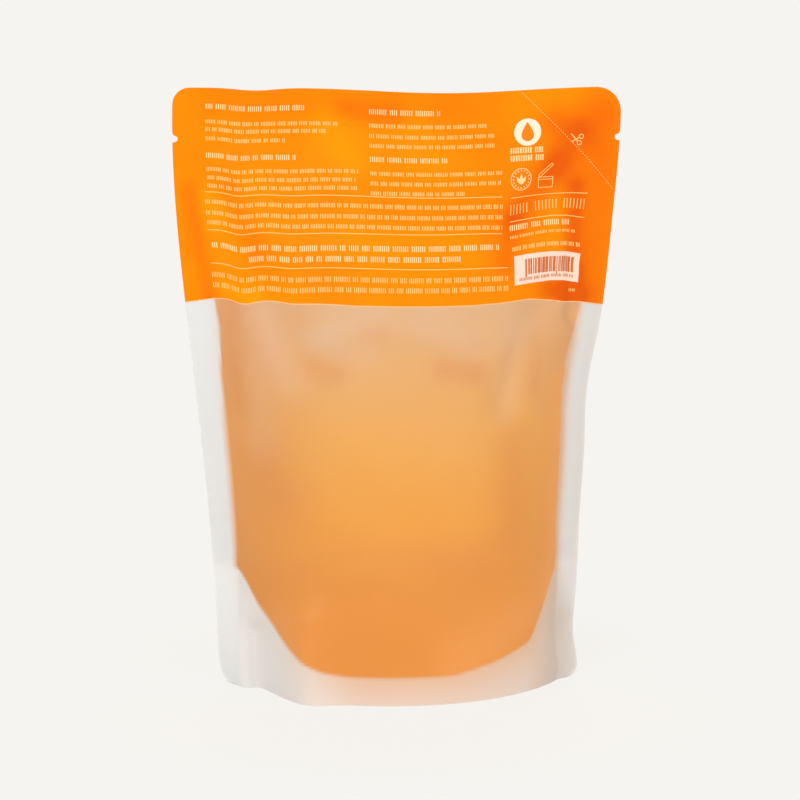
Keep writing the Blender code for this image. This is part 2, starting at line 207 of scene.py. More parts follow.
# Lines of print on the front: left end, right end, drop below the top edge at each end, kind of bars
BOLD_LINES = (
    (-0.064, -0.0315, 0.006, 0.006, "heading"),
    (-0.064, -0.0345, 0.022, 0.022, "heading"),
    (-0.01, 0.0135, 0.0065, 0.0065, "heading"),
    (-0.01, 0.0155, 0.0223, 0.0223, "heading"),
    (-0.064, 0.0325, 0.0515, 0.0515, "bold"),
    (-0.051, 0.019, 0.055, 0.055, "bold"),
    (0.037, 0.0482, 0.02, 0.02, "caption"),
    (0.037, 0.0485, 0.0226, 0.0226, "caption"),
    (0.037, 0.059, 0.0455, 0.0451, "bold"),
)
THIN_LINES = (
    (-0.064, -0.0205, 0.011, 0.011, "body"),
    (-0.064, -0.0245, 0.0135, 0.0135, "body"),
    (-0.064, -0.038, 0.0165, 0.0165, "body"),
    (-0.064, -0.014, 0.0265, 0.0265, "body"),
    (-0.064, -0.015, 0.0293, 0.0293, "body"),
    (-0.064, -0.0145, 0.032, 0.032, "body"),
    (-0.01, 0.029, 0.011, 0.011, "body"),
    (-0.01, 0.0315, 0.0145, 0.0145, "body"),
    (-0.01, 0.0315, 0.0178, 0.0178, "body"),
    (-0.01, 0.034, 0.027, 0.027, "body"),
    (-0.01, 0.0335, 0.0303, 0.0303, "body"),
    (-0.01, 0.021, 0.0335, 0.0335, "body"),
    (-0.065, 0.034, 0.0372, 0.0382, "list"),
    (-0.065, 0.034, 0.0408, 0.0416, "list"),
    (-0.065, 0.034, 0.044, 0.045, "list"),
    (-0.065, 0.0355, 0.0613, 0.062, "notice"),
    (-0.065, 0.0355, 0.0648, 0.0652, "notice"),
    (0.037, 0.064, 0.0396, 0.0385, "display"),
    (0.037, 0.0615, 0.0486, 0.0479, "fine"),
    (0.0375, 0.0635, 0.0526, 0.0522, "list"),
    (0.0606, 0.063, 0.0676, 0.0674, "fine"),
)
# Rules: left end, right end and drop at each end
RULES = (
    (-0.065, 0.034, 0.034, 0.035),
    (-0.065, 0.034, 0.0465, 0.047),
    (-0.065, 0.0355, 0.0575, 0.0585),
    (0.037, 0.065, 0.0356, 0.035),
    (0.037, 0.0645, 0.0434, 0.0429),
)
RULE_WIDTH = 0.00026
# How far the band's lower edge lies below its level: distance from the middle and drop
PRINT_EDGE = (
    (-0.075, 0.0), (-0.056, -0.0004), (-0.04, -0.0006), (-0.03, -0.0001), (-0.016, 0.0006),
    (0.024, 0.0008), (0.034, 0.0004), (0.044, -0.0002), (0.053, 0.0009), (0.058, 0.0017),
    (0.075, 0.0026),
)
# How far a fold leads the right block of print off its straight lines: distance from the middle and drop
PRINT_BOW = (
    (0.037, 0.0), (0.045, -0.0007), (0.052, -0.001), (0.058, -0.0006), (0.065, 0.0006),
    (0.069, 0.0),
)
# The cut line across the top right corner: its ends as (u, drop), and its dashes
CUT_LINE = ((0.041, 0.0006), (0.0745, 0.034))
CUT_DASH = 0.00042
CUT_WIDTH = 0.00022
CUT_PITCH = 0.001
SCISSORS = (0.06, 0.017)
CODE_PANEL = (0.038, 0.064, 0.055, 0.0647)  # left, right, top drop and bottom drop
INK_RISE = 0.00005  # how far ink stands off the film
BAND_EDGE = 0.0003  # height of the paler line at the band's lower edge
FLOOR_GAP = 0.0001  # the floor lies this far below the pack, so that they never share a plane

# Colours of the soap from its base to the underside of the band: share of the way up and colour
SOAP_RAMP = (
    (0.0, (0.89, 0.342, 0.066)),
    (0.3, (0.855, 0.342, 0.068)),
    (0.46, (0.9, 0.398, 0.072)),
    (0.66, (0.88, 0.438, 0.108)),
    (0.84, (0.83, 0.456, 0.175)),
    (1.0, (0.8, 0.485, 0.25)),
)

# Fixed colours: the soap towards the sides, as painted shade, patches of the haze, the film's core, and the
# orange that shows through thin ink
SOAP_SIDE_SHADE = (0.80, 0.35, 0.126)
HAZE_DULL = (0.76, 0.76, 0.74)
CORE_PALE = (0.86, 0.80, 0.72)
CORE_DULL = (0.80, 0.72, 0.62)
THROUGH_INK = (0.98, 0.30, 0.01)

# Lights: name, place, size and power
LIGHTS = (
    ("key", (-0.70, -1.35, 0.90), 1.1, 13.0),
    ("fill", (1.00, -1.20, 0.40), 1.3, 8.4),
    ("rim", (0.20, 1.30, 1.00), 1.2, 8.0),
)
LIT_PLACE = (0.0, 0.0, 0.09)  # where all lights point
WORLD_LIGHT = 0.62
FLOOR_REACH = 6.0
# The camera: what it looks at, its distance, and its degrees above and to the right of straight ahead
CAMERA_TARGET = (0.0005, 0.0, 0.09645)
CAMERA_DISTANCE = 1.0
CAMERA_ELEVATION = 8.5
CAMERA_AZIMUTH = -5.0
CAMERA_LENS = 135.0  # mm
CAMERA_SENSOR = 36.0  # mm


def length(name, description, default):
    return FloatProperty(name=name, description=description, default=default, unit="LENGTH", precision=5)


def number(name, description, default):
    return FloatProperty(name=name, description=description, default=default)


def colour(name, description, default):
    return FloatVectorProperty(
        name=name, description=description, default=default, size=3, min=0.0, max=1.0, subtype="COLOR"
    )


class PouchFilm(bpy.types.PropertyGroup):
    """The film as it is cut and welded."""

    width: length("Width", "Across the film, from cut edge to cut edge", 0.150)
    height: length("Height", "Up the film, from the base edge to the top edge", 0.2010)
    film: length("Film", "Thickness of the laminate", 0.00015)
    side_seal: length("Side seal", "Width of the weld up each side", 0.0095)
    top_seal: length("Top seal", "Height of the weld along the top", 0.010)
    base_seal: length("Base seal", "Height of the weld along the level middle of the base", 0.009)
    gusset: length("Gusset", "Height of the base web's fold, with the web folded flat", 0.044)
    hem: length("Hem", "Base web left free of the weld below its fold", 0.0035)
    fold_fade: length("Fold fade", "Height in which the panels close above that fold", 0.012)
    left_corner: length("Left corner", "Radius of the top left corner", 0.0055)
    right_corner: length("Right corner", "Radius of the top right corner", 0.0085)
    base_corner: length("Base corner", "Radius of the base corners", 0.0045)
    notch_drop: length("Notch drop", "Tear notches, below the top edge", 0.0165)
    notch_depth: length("Notch depth", "How far a tear notch cuts in", 0.0018)
    notch_height: length("Notch height", "Mouth of a tear notch", 0.0023)
    print_height: length("Band", "Printed band, down from the top edge", 0.0697)
    gap: length("Gap", "Space between two welded films", 0.0003)


class PouchFill(bpy.types.PropertyGroup):
    """The shape that the filled pack takes."""

    base_depth: length("Base depth", "From front to back at the floor", 0.066)
    bulge_power: number("Bulge power", "A higher power keeps the depth further up", 2.5)
    slack_power: number("Slack power", "A higher power keeps slack film nearer to the top", 4.0)
    pinch: length("Pinch", "How far the base web holds the panels in", 0.0015)
    pinch_spread: length("Pinch spread", "Height over which it does so", 0.014)
    fill_level: length("Fill level", "Top of the soap above the floor", 0.1152)
    left_turn: number("Left turn", "Degrees that the left side seal turns backwards at the base", 62.0)
    right_turn: number("Right turn", "Degrees that the right side seal turns backwards", 36.0)
    left_fade: number("Left fade", "Power by which that turn fades out up the left side", 3.5)
    right_fade: number("Right fade", "Power by which that turn fades out up the right side", 3.0)
    top_draw: length("Top draw", "How far the waves of the top edge draw each side in", 0.0010)
    pucker: length("Pucker", "Depth of the ripples beside the side seals", 0.00022)


class PouchColours(bpy.types.PropertyGroup):
    """The colours of the film, the ink and the soap."""

    band: colour("Band", "Printed band", (0.865, 0.200, 0.001))
    band_warm: colour("Band warm", "Printed band where light comes through it", (0.875, 0.250, 0.001))
    # The next two colours are painted light and painted shade on the printed band: lightest where it is
    # lit, and redder where shade falls in its folds.
    band_painted_light: colour("Band light", "Printed band where it is lightest", (0.900, 0.310, 0.001))
    band_painted_shade: colour("Band fold", "Printed band in the folds", (0.700, 0.096, 0.002))
    band_edge: colour("Band edge", "Lower edge of the print", (0.960, 0.480, 0.200))
    ink: colour("Ink", "Pale ink of the badge", (0.920, 0.745, 0.560))
    bold_ink: colour("Bold ink", "The same ink in bold lines", (0.930, 0.750, 0.380))
    thin_ink: colour("Thin ink", "The same ink in fine lines", (0.940, 0.560, 0.170))
    code: colour("Code", "Bars of the product code", (0.560, 0.140, 0.025))
    code_panel: colour("Code panel", "Panel behind the product code", (0.870, 0.625, 0.500))
    frosted: colour("Frosted", "Film without print", (0.820, 0.825, 0.815))
    welded: colour("Welded", "Film without print where the base web backs it", (0.900, 0.900, 0.885))
    # The next three colours are painted: shade that makes the base weld tan, shade that makes the soap
    # redder, and light that makes the soap brighter.
    tan: colour("Tan", "Tan corners of the base weld", (0.640, 0.500, 0.395))
    flush: colour("Flush", "Soap where the film lies tight on it", (0.760, 0.270, 0.090))
    bright: colour("Bright", "Soap where light comes through it", (0.980, 0.430, 0.115))
    # Painted light carried through the soap into the welded film beside it
    glow: colour("Glow", "Welded film beside the soap", (0.845, 0.555, 0.372))
    stage: colour("Stage", "Floor and backdrop", (0.9216, 0.9047, 0.8714))


def bell(distance, spread):
    """1 at distance 0, falling smoothly to 0 a few spreads away: exp(-(distance / spread)^2)."""
    return np.exp(-((distance / spread) ** 2))


def smooth(share):
    """0 below 0, 1 above 1, and 3 s^2 - 2 s^3 between."""
    share = np.clip(share, 0.0, 1.0)
    return share * share * (3.0 - 2.0 * share)


def valley(u, v, start, end, spread):
    """1 along the line from start to end, falling off to its sides and past its ends as a bell."""
    (u0, v0), (u1, v1) = start, end
    along_u, along_v = u1 - u0, v1 - v0
    share = np.clip(((u - u0) * along_u + (v - v0) * along_v) / (along_u**2 + along_v**2), 0.0, 1.0)
    return bell(np.hypot(u - u0 - share * along_u, v - v0 - share * along_v), spread)


def valleys(u, v, lines):
    """Sum of valleys, each times its depth."""
    total = np.zeros(np.broadcast(u, v).shape)
    for start, end, spread, depth in lines:
        total = total + depth * valley(u, v, start, end, spread)
    return total


class Pouch:
    """The filled pouch as surfaces over the flat film."""

    TABLE_ROWS = 160
    TABLE_COLUMNS = 120

    def __init__(self, scene):
        self.cut = scene.pouch_film
        self.fill = scene.pouch_fill
        self.half_width = self.cut.width / 2
        self.half_arc = self.half_width - self.cut.side_seal
        self.top_seal_level = self.cut.height - self.cut.top_seal
        self.print_level = self.cut.height - self.cut.print_height
        self.web_seal_top = self.cut.gusset - self.cut.hem
        self.base_bulge = float(self.bulge(np.array(0.0)))
        self.tables = {side: self.height_table(side) for side in (FRONT, BACK)}

    def bulge(self, v):
        """How far a panel's middle stands out at height v: a power curve, pinched by the base web."""
        fill = self.fill
        high = np.clip(v / self.top_seal_level, 0.0, 1.0)
        full = fill.base_depth / 2 * (1 - high**fill.bulge_power)
        return np.maximum(full - fill.pinch * bell(v - self.cut.base_seal, fill.pinch_spread), 0.0)

    def arc_angle(self, v):
        """Half angle of the arc that a panel's section follows. The film keeps its length, so the angle
        solves (1 - cos a) / a = bulge / half arc."""
        share = np.maximum(self.bulge(v) / self.half_arc, 1e-4)
        angle = 2.0 * share
        for _ in range(12):
            angle = angle - (1 - np.cos(angle) - share * angle) / (np.sin(angle) - share)
        return angle

    def plan(self, side, u, v):
        """x and y of a place on a panel: along the arc between the seams, and straight out in the side
        seals, which turn backwards towards the base."""
        inside = np.clip(u, -self.half_arc, self.half_arc)
        angle = self.arc_angle(v)
        radius = self.half_arc / angle
        x = radius * np.sin(inside / self.half_arc * angle)
        out = radius * (np.cos(inside / self.half_arc * angle) - np.cos(angle))
        pressed = valleys(inside, v, FRONT_CREASES if side == FRONT else BACK_CREASES)
        pressed = pressed * np.clip(1 - (inside / self.half_arc) ** 4, 0.0, 1.0)
        pressed = pressed * np.clip(2 * self.bulge(v) / self.base_bulge, 0.0, 1.0)
        past = np.abs(u) - np.abs(inside)
        high = v / self.cut.height
        left = self.fill.left_turn * np.clip(1 - high, 0.0, 1.0) ** self.fill.left_fade
        right = self.fill.right_turn * (1 - high**self.fill.right_fade)
        turn = np.radians(np.where(u < 0, left, right))
        return x + np.sign(u) * past * np.cos(turn), side * (out - pressed) + past * np.sin(turn)

    def height_table(self, side):
        """z on a grid of v and u. The film keeps its length up each column, so z climbs by what is left
        of each step of v after its sideways part, and slack near the top evens the columns out."""
        v = np.linspace(0.0, self.cut.height, self.TABLE_ROWS)[:, None]
        u = np.linspace(-self.half_arc, self.half_arc, self.TABLE_COLUMNS)[None, :]
        x, y = self.plan(side, u, v)
        left = (v[1] - v[0]) ** 2 - np.diff(x, axis=0) ** 2 - np.diff(y, axis=0) ** 2
        table = np.vstack([np.zeros_like(u), np.cumsum(np.sqrt(np.maximum(left, 0.0)), axis=0)])
        return table + (table[-1, -1] - table[-1]) * (v / self.cut.height) ** self.fill.slack_power

    def heights(self, side, u, v):
        """z of places on a panel, read between the table's points."""
        row = np.clip(v / self.cut.height, 0.0, 1.0) * (self.TABLE_ROWS - 1)
        inside = np.clip(u, -self.half_arc, self.half_arc)
        column = (inside / self.half_arc + 1) / 2 * (self.TABLE_COLUMNS - 1)
        j = np.minimum(row.astype(int), self.TABLE_ROWS - 2)
        i = np.minimum(column.astype(int), self.TABLE_COLUMNS - 2)
        s, t = row - j, column - i
        table = self.tables[side]
        low = table[j, i] * (1 - t) + table[j, i + 1] * t
        high = table[j + 1, i] * (1 - t) + table[j + 1, i + 1] * t
        return low * (1 - s) + high * s

    def contact(self, side, u, v):
        """Points of the surface that two touching panels would share."""
        u, v = np.broadcast_arrays(u, v)
        x, y = self.plan(side, u, v)
        z = self.heights(side, u, v)
        step = self.cut.height / (self.TABLE_ROWS - 1)
        up = self.plan(side, self.half_arc, np.minimum(v + step, self.cut.height))[0]
        down = self.plan(side, self.half_arc, np.maximum(v - step, 0.0))[0]
        slant = (up - down) / (2 * step)
        past = np.maximum(np.abs(u) - self.half_arc, 0.0)
        z = z - past * slant * np.clip(v / self.cut.gusset, 0.0, 1.0)
        right = np.clip(x / self.half_arc, 0.0, 1.0) ** 2
        for depth, level, spread in SIDE_NIPS:
            x = x - depth * right * bell(z - level, spread)
        top = np.clip(z / self.cut.height, 0.0, 1.0) ** 4
        x = x - self.fill.top_draw * x / self.half_width * top
        for middle, spread, reach, dip in TOP_WAVES:
            share = bell(x - middle, spread) * top
            y = y - reach * share
            z = z - dip * share
        return np.stack([x, y, z], axis=-1)

    def outward(self, side, u, v):
        """Unit normals of a panel, from the cross product of small steps along u and v."""
        step = NORMAL_STEP
        u, v = np.broadcast_arrays(u, v)
        across = self.contact(side, u + step, v) - self.contact(side, u - step, v)
        low, high = np.maximum(v - step, 0.0), np.minimum(v + step, self.cut.height)
        cross = np.cross(across, self.contact(side, u, high) - self.contact(side, u, low))
        return -side * cross / np.linalg.norm(cross, axis=-1, keepdims=True)

    def clearance(self, v):
        """Half the space between two panels: half a gap, and below the web's fold its ply as well."""
        gap, film = self.cut.gap, self.cut.film
        above = np.clip((v - self.cut.gusset - 2 * film) / self.cut.fold_fade, 0.0, 1.0)
        return (film + 1.5 * gap) * (1 - above) + gap / 2 * above

    def wrinkles(self, side, u, v):
        """How far small folds move the film outwards: folds along lines, ripples across the edge of each
        side seal as a sine up the pack, and slow waves as a sum of sines. A fold f stays below half the
        local bulge b by the smooth minimum f b / (f^4 + b^4)^(1/4)."""
        folds = valleys(u, v, FRONT_FOLDS if side == FRONT else BACK_FOLDS)
        limit = 0.5 * self.bulge(v) * np.clip(1 - (u / self.half_arc) ** 2, 0.0, 1.0) + 1e-9
        folds = folds * limit / (folds**4 + limit**4) ** 0.25
        phase = 0.9 if side == FRONT else 2.3
        from_seam = self.half_arc - np.abs(u)
        beside = bell(from_seam - 0.0035, 0.0048) * smooth(from_seam / 0.002)
        ripple = np.sin(v / 0.0017 + phase + 2.0 * np.sign(u)) * np.sin(v / 0.0061 + 3.0 * np.sign(u))
        loose = smooth((v - 0.075) / 0.05) * smooth((self.top_seal_level + 0.004 - v) / 0.012)
        slow = np.sin(u / 0.0093 + v / 0.021 + phase) * np.sin(v / 0.0125 - u / 0.034)
        slow = slow + 0.6 * np.sin(u / 0.0049 - v / 0.0137 + 2 * phase) * np.sin(v / 0.0081 + 1.7)
        inside = smooth(from_seam / 0.008)
        flutes = np.sin(u / 0.0041 + phase) * bell(v - self.top_seal_level + 0.006, 0.006)
        pack = self.fill.pucker * beside * ripple * (0.4 + loose)
        return pack + inside * (0.00024 * loose * slow + 0.00012 * flutes) - folds

    def skin(self, side, u, v, out):
        """Points of a panel moved outwards from its inner face by out."""
        u, v = np.broadcast_arrays(u, v)
        away = self.clearance(v) + self.wrinkles(side, u, v) + out
        return self.contact(side, u, v) + self.outward(side, u, v) * away[..., None]

    def outline(self, right, v):
        """Distance from the middle to the cut edge, with round corners and a round tear notch."""
        cut = self.cut
        edge = np.full(np.shape(v), self.half_width)
        top = cut.right_corner if right else cut.left_corner
        for corner, from_end in ((cut.base_corner, v), (top, cut.height - v)):
            short = np.clip(corner - from_end, 0.0, corner)
            edge = edge - (corner - np.sqrt(corner**2 - short**2))
        away = (v - (cut.height - cut.notch_drop)) / (cut.notch_height / 2)
        return edge - cut.notch_depth * np.sqrt(np.clip(1 - away**2, 0.0, 1.0))

    def seal_height(self, u):
        """Top of the weld between a panel and the base web: the line through the points of BASE_SEAM,
        averaged over a short length, which rounds its corners."""
        place, rise = np.array(BASE_SEAM).T
        steps = np.linspace(-SEAM_ROUNDING, SEAM_ROUNDING, 7)
        share = sum(np.interp((u + step) / self.half_arc, place, rise) for step in steps) / len(steps)
        return self.cut.base_seal + (self.web_seal_top - self.cut.base_seal) * share

    def above_seal(self, u, v):
        """Distance from the top of the base weld, across it: (v - s(u)) / sqrt(1 + s'(u)^2)."""
        inside = np.clip(u, -self.half_arc, self.half_arc)
        rise = self.seal_height(inside + SLOPE_STEP) - self.seal_height(inside - SLOPE_STEP)
        slope = rise / (2 * SLOPE_STEP)
        return (v - self.seal_height(inside)) / np.sqrt(1 + slope**2)

    def glow(self, u, v):
        """Painted light carried through the soap into the base weld: 1 beside the soap, fading down and to
        the left, where the light comes from.
        """
        near = np.exp(np.minimum(self.above_seal(u, v), 0.0) / 0.020)
        lit = 0.26 + 0.74 * smooth((u + 0.052) / 0.042)
        return near * lit * smooth((self.half_arc + 0.004 - np.abs(u)) / 0.006)

    def wet(self, side, u, v):
        """1 where soap lies behind the film, 0 in the welds, and a little less where the film stands
        off the soap along its folds, which is partly a painted highlight."""
        up = smooth((self.above_seal(u, v) + 0.0004) / 0.0014)
        edge = self.half_arc + np.interp(u / self.half_arc, (-1.0, 1.0), (0.0018, -0.0022))
        edge = edge - 0.0022 * bell(v - 0.122, 0.016) * (u < 0)
        edge = edge + 0.0028 * smooth((v - 0.112) / 0.016) * (u > 0)
        across = smooth((edge - np.abs(u)) / 0.0010)
        # Paler where the film stands off the soap, partly a painted highlight along its folds
        pale = valleys(u, v, FRONT_PALE if side == FRONT else BACK_PALE)
        return up * across * np.clip(1 - pale, 0.0, 1.0)


def rows_through(levels, step):
    """Sorted heights that pass through each level, with even ones between them at most a step apart."""
    rows = []
    for level in sorted(levels):
        if rows and level - rows[-1] < SAME_LEVEL:
            continue
        if rows:
            parts = math.ceil((level - rows[-1]) / step)
            rows += list(np.linspace(rows[-1], level, parts + 1)[1:-1])
        rows.append(level)
    return np.array(rows)


def new_object(name, points, quads, materials, slots=None, fields=None, film_uv=None):
    """A mesh object of quads, with a material slot for each quad, a value for each point under each
    field's name, and the place on the flat film as its UV map."""
    mesh = bpy.data.meshes.new(name)
    mesh.vertices.add(len(points))
    mesh.vertices.foreach_set("co", points.astype(np.float32).ravel())
    mesh.loops.add(quads.size)
    mesh.loops.foreach_set("vertex_index", quads.astype(np.int32).ravel())
    mesh.polygons.add(len(quads))
    mesh.polygons.foreach_set("loop_start", np.arange(0, quads.size, 4, dtype=np.int32))
    mesh.polygons.foreach_set("use_smooth", np.ones(len(quads), dtype=bool))
    for material in materials:
        mesh.materials.append(material)
    if slots is not None:
        mesh.polygons.foreach_set("material_index", slots.astype(np.int32))
    for field, values in (fields or {}).items():
        layer = mesh.attributes.new(field, "FLOAT", "POINT")
        layer.data.foreach_set("value", values.astype(np.float32).ravel())
    if film_uv is not None:
        layer = mesh.uv_layers.new(name="film")
        layer.data.foreach_set("uv", film_uv[quads.ravel()].astype(np.float32).ravel())
    mesh.update(calc_edges=True)
    mesh.validate()
    obj = bpy.data.objects.new(name, mesh)
    bpy.context.scene.collection.objects.link(obj)
    return obj


def finish_piece(obj, nodes=()):
    """Puts a piece on the pack's body and hides the nodes that it replaces."""
    obj.data.set_sharp_from_angle(angle=math.radians(55))
    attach(obj, BODY)
    if nodes:
        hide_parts(*nodes)


def sheet_quads(rows, columns):
    """Quads of a thin solid between two grids of points, the far grid's points after the near one's.
    The far grid lies where columns cross rows points to."""
    a = np.arange(rows * columns).reshape(rows, columns)
    b = a + rows * columns
    far = np.stack([b[:-1, :-1], b[:-1, 1:], b[1:, 1:], b[1:, :-1]], axis=-1).reshape(-1, 4)
    near = np.stack([a[:-1, :-1], a[1:, :-1], a[1:, 1:], a[:-1, 1:]], axis=-1).reshape(-1, 4)
    left = np.stack([a[:-1, 0], b[:-1, 0], b[1:, 0], a[1:, 0]], axis=-1)
    right = np.stack([b[:-1, -1], a[:-1, -1], a[1:, -1], b[1:, -1]], axis=-1)
    low = np.stack([a[0, :-1], a[0, 1:], b[0, 1:], b[0, :-1]], axis=-1)
    top = np.stack([b[-1, :-1], b[-1, 1:], a[-1, 1:], a[-1, :-1]], axis=-1)
    return np.concatenate([far, near, left, right, low, top])


def on_both_faces(values):
    """The values of a grid, once for its inner face and once for its outer one."""
    return np.concatenate([values.ravel()] * 2)


def flat_uv(pouch, u, v):
    """A place on the flat film as shares of its width and height."""
    return np.stack([u / pouch.cut.width + 0.5, v / pouch.cut.height], axis=-1)


# Materials


class Nodes:
    """A material's node tree, with short calls to add and link nodes."""

    def __init__(self, name):
        self.material = bpy.data.materials.new(name)
        self.material.use_nodes = True
        self.tree = self.material.node_tree
        self.shader = self.tree.nodes["Principled BSDF"]

    def add(self, kind, inputs=None, **settings):
        node = self.tree.nodes.new(kind)
        for key, value in settings.items():
            setattr(node, key, value)
        for key, value in (inputs or {}).items():
            self.put(node.inputs[key], value)
        return node

    def put(self, socket, value):
        if isinstance(value, bpy.types.NodeSocket):
            self.tree.links.new(value, socket)
        else:
            socket.default_value = value

    def set(self, **values):
        for key, value in values.items():
            self.put(self.shader.inputs[key.replace("_", " ")], value)

    def math(self, operation, a, b=0.0, clamp=False):
        node = self.add("ShaderNodeMath", operation=operation, use_clamp=clamp)
        self.put(node.inputs[0], a)
        self.put(node.inputs[1], b)
        return node.outputs[0]

    def blend(self, share, a, b, kind="MIX"):
        """Colour a where share is 0 and b where it is 1."""
        node = self.add("ShaderNodeMix", data_type="RGBA", blend_type=kind)
        self.put(node.inputs[0], share)
        self.put(node.inputs[6], a)
        self.put(node.inputs[7], b)
        return node.outputs[2]

    def lerp(self, share, a, b):
        node = self.add("ShaderNodeMix", data_type="FLOAT")
        self.put(node.inputs[0], share)
        self.put(node.inputs[2], a)
        self.put(node.inputs[3], b)
        return node.outputs[0]

    def field(self, name):
        return self.add("ShaderNodeAttribute", attribute_name=name).outputs["Fac"]

    def place(self):
        return self.add("ShaderNodeTexCoord").outputs["Object"]

    def noise(self, scale, detail=2.0, roughness=0.5, place=None):
        inputs = {"Vector": place or self.place(), "Scale": scale, "Detail": detail, "Roughness": roughness}
        return self.add("ShaderNodeTexNoise", inputs).outputs["Fac"]

    def spread(self, value, low, high):
        """value from low to high, stretched to 0 to 1."""
        node = self.add("ShaderNodeMapRange", {"Value": value, "From Min": low, "From Max": high})
        return node.outputs["Result"]

    def bump(self, height, distance, strength=1.0, below=None):
        inputs = {"Height": height, "Distance": distance, "Strength": strength}
        if below is not None:
            inputs["Normal"] = below
        return self.add("ShaderNodeBump", inputs).outputs["Normal"]


def rgba(values):
    return (values[0], values[1], values[2], 1.0)


def soap_colour(nodes, pouch):
    """The soap's colour: a ramp by height, darker and duller towards the sides as painted shade, with soft
    clouds.
    """
    place = nodes.place()
    split = nodes.add("ShaderNodeSeparateXYZ", {"Vector": place})
    clouds = nodes.noise(38.0, 1.5, place=place)
    level = nodes.spread(split.outputs["Z"], 0.0, pouch.print_level)
    level = nodes.math("ADD", level, nodes.math("MULTIPLY", nodes.math("SUBTRACT", clouds, 0.5), 0.14))
    ramp = nodes.add("ShaderNodeValToRGB", {"Fac": level})
    elements = ramp.color_ramp.elements
    for index, (share, tint) in enumerate(SOAP_RAMP):
        element = elements[index] if index < 2 else elements.new(share)
        element.position = share
        element.color = rgba(tint)
    # Painted shade: the soap is darker towards the sides, where the pack curves away from the light, fading
    # out towards the base
    aside = nodes.math("ABSOLUTE", nodes.math("SUBTRACT", split.outputs["X"], 0.004))
    side = nodes.spread(aside, 0.028, 0.066)
    side = nodes.math("MULTIPLY", side, nodes.lerp(clouds, 0.25, 0.95))
    side = nodes.math("MULTIPLY", side, nodes.spread(split.outputs["Z"], 0.0, 0.045))
    return nodes.blend(side, ramp.outputs["Color"], rgba(SOAP_SIDE_SHADE))


def soap_material(pouch):
    nodes = Nodes("orange_soap")
    nodes.set(Base_Color=soap_colour(nodes, pouch), Roughness=0.30, Specular_IOR_Level=0.25)
    return nodes.material


def frosted_material(pouch, colours, name="frosted_film"):
    """Film without print: hazy and nearly white where it is welded, and wetted by the soap elsewhere."""
    nodes = Nodes(name)
    wet = nodes.field("wet")
    # Painted light carried through the soap into the welded film beside it
    glow = nodes.field("glow")
    fine = nodes.noise(900.0, 3.0)
    broad = nodes.noise(60.0, 2.0)
    ply = nodes.field("ply")
    haze = nodes.blend(ply, rgba(colours.frosted), rgba(colours.welded))
    haze = nodes.blend(nodes.math("MULTIPLY", broad, 0.12), haze, rgba(HAZE_DULL))
    # Painted shade and light: this field takes the haze to the shaded tan and the soap to a painted shade,
    # and where it is negative it takes the soap to a painted light.
    flush = nodes.field("flush")
    haze = nodes.blend(flush, nodes.blend(glow, haze, rgba(colours.glow)), rgba(colours.tan))
    tint = nodes.blend(flush, soap_colour(nodes, pouch), rgba(colours.flush))
    tint = nodes.blend(nodes.math("MULTIPLY", flush, -1.0, clamp=True), tint, rgba(colours.bright))
    nodes.set(
        Base_Color=nodes.blend(wet, haze, tint),
        Alpha=nodes.lerp(wet, nodes.lerp(ply, 0.62, 0.75), 0.66),
        Roughness=nodes.lerp(fine, 0.42, 0.55),
        Specular_IOR_Level=0.22,
        Normal=nodes.bump(fine, 0.00006, 0.5, nodes.bump(broad, 0.0006, 0.35)),
    )
    return nodes.material


def printed_material(pouch, colours):
    """Printed film: saturated orange, warmer where light comes through, redder as painted shade in the
    folds, and lighter as painted light in places.
    """
    nodes = Nodes("printed_film")
    fine = nodes.noise(700.0, 3.0)
    broad = nodes.noise(26.0, 2.0)
    warm = nodes.spread(broad, 0.38, 0.68)
    base = nodes.blend(warm, rgba(colours.band), rgba(colours.band_warm))
    # Painted shade and painted light: the shade field makes the band redder in its shaded folds, and
    # lighter where it is negative.
    shade = nodes.field("shade")
    lighter = nodes.math("MULTIPLY", shade, -1.0, clamp=True)
    redder = nodes.math("MULTIPLY", shade, 1.2, clamp=True)
    base = nodes.blend(lighter, base, rgba(colours.band_painted_light))
    nodes.set(
        Base_Color=nodes.blend(redder, base, rgba(colours.band_painted_shade)),
        Roughness=nodes.lerp(fine, 0.42, 0.52),
        Specular_IOR_Level=0.03,
        Normal=nodes.bump(fine, 0.00005, 0.4, nodes.bump(nodes.noise(140.0, 3.0), 0.0004, 0.35)),
    )
    return nodes.material


def edge_material():
    """The cut edge of the laminate, which shows its white core."""
    nodes = Nodes("film_edge")
    tint = nodes.blend(nodes.noise(800.0), rgba(CORE_PALE), rgba(CORE_DULL))
    nodes.set(Base_Color=tint, Roughness=0.5, Specular_IOR_Level=0.2)
    return nodes.material


def ink_material(name, tint, thin):
    """Ink, through which the orange shows by thin, a little unevenly."""
    nodes = Nodes(name)
    patchy = nodes.lerp(nodes.noise(420.0, 2.0), 0.8 * thin, 1.2 * thin)
    shade = nodes.blend(patchy, rgba(tint), rgba(THROUGH_INK))
    nodes.set(Base_Color=shade, Roughness=0.45, Specular_IOR_Level=0.12)
    return nodes.material


# Film pieces


